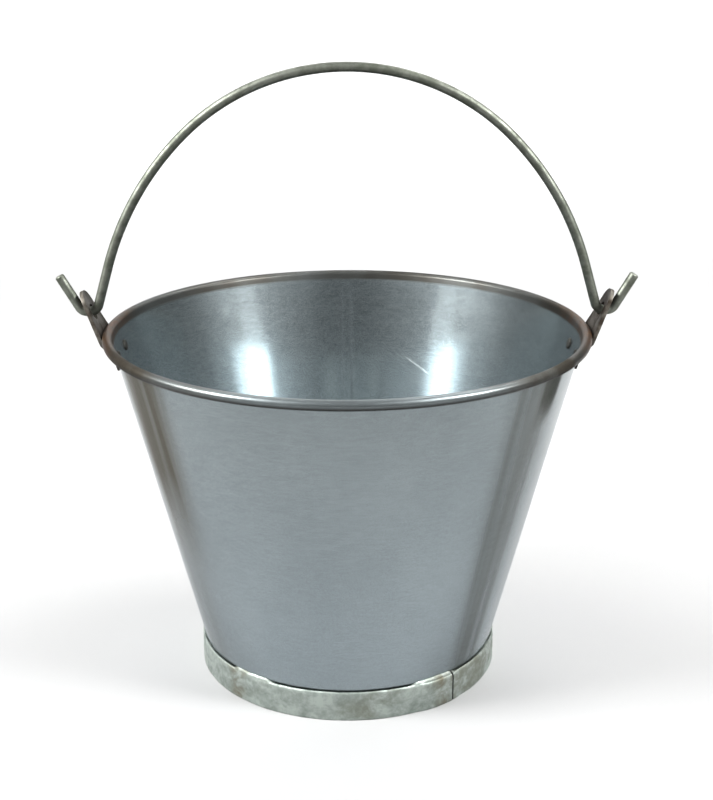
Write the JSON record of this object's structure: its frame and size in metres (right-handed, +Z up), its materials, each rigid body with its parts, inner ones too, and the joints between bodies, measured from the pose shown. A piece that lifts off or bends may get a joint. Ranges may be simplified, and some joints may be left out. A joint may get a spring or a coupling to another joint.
{
  "type": "feed bucket",
  "caption": "Round tapered sheet-steel bucket with a rolled rim, raised base on a foot ring and a swinging wire bail hooked through two riveted ears.",
  "frame": {"origin": "on the floor, at the middle of the foot ring", "axes": "+Z up along the bucket's axis; the two ears and the bail's hinge line lie along X"},
  "size_m": [0.3922, 0.33, 0.4193],
  "materials": {
    "zinc_sheet": "satin galvanised sheet with a fine rolled grain",
    "zinc_spangle": "dull hot-dip zinc with pale blotches",
    "ear_plate": "dull brownish grey galvanised plate",
    "rivet": "dull zinc",
    "bail_wire": "semi-bright zinc-coated wire",
    "steel_wire": "dull zinc-coated wire"
  },
  "bodies": {
    "bucket": {"bucket_wall": "zinc_sheet", "rim_wire": "steel_wire", "base_disc": "zinc_sheet", "foot_ring": "zinc_spangle", "left_ear": "ear_plate", "right_ear": "ear_plate", "left_ear_rivets": "rivet", "right_ear_rivets": "rivet"},
    "bail": {"bail_handle": "bail_wire"}
  },
  "joints": [
    {"name": "bail_swing", "type": "hinge", "parent": "bucket", "child": "bail", "pos_m": [0, 0, 0.254], "axis": [1, 0, 0], "range_deg": [-92.5, 92.5]}
  ]
}
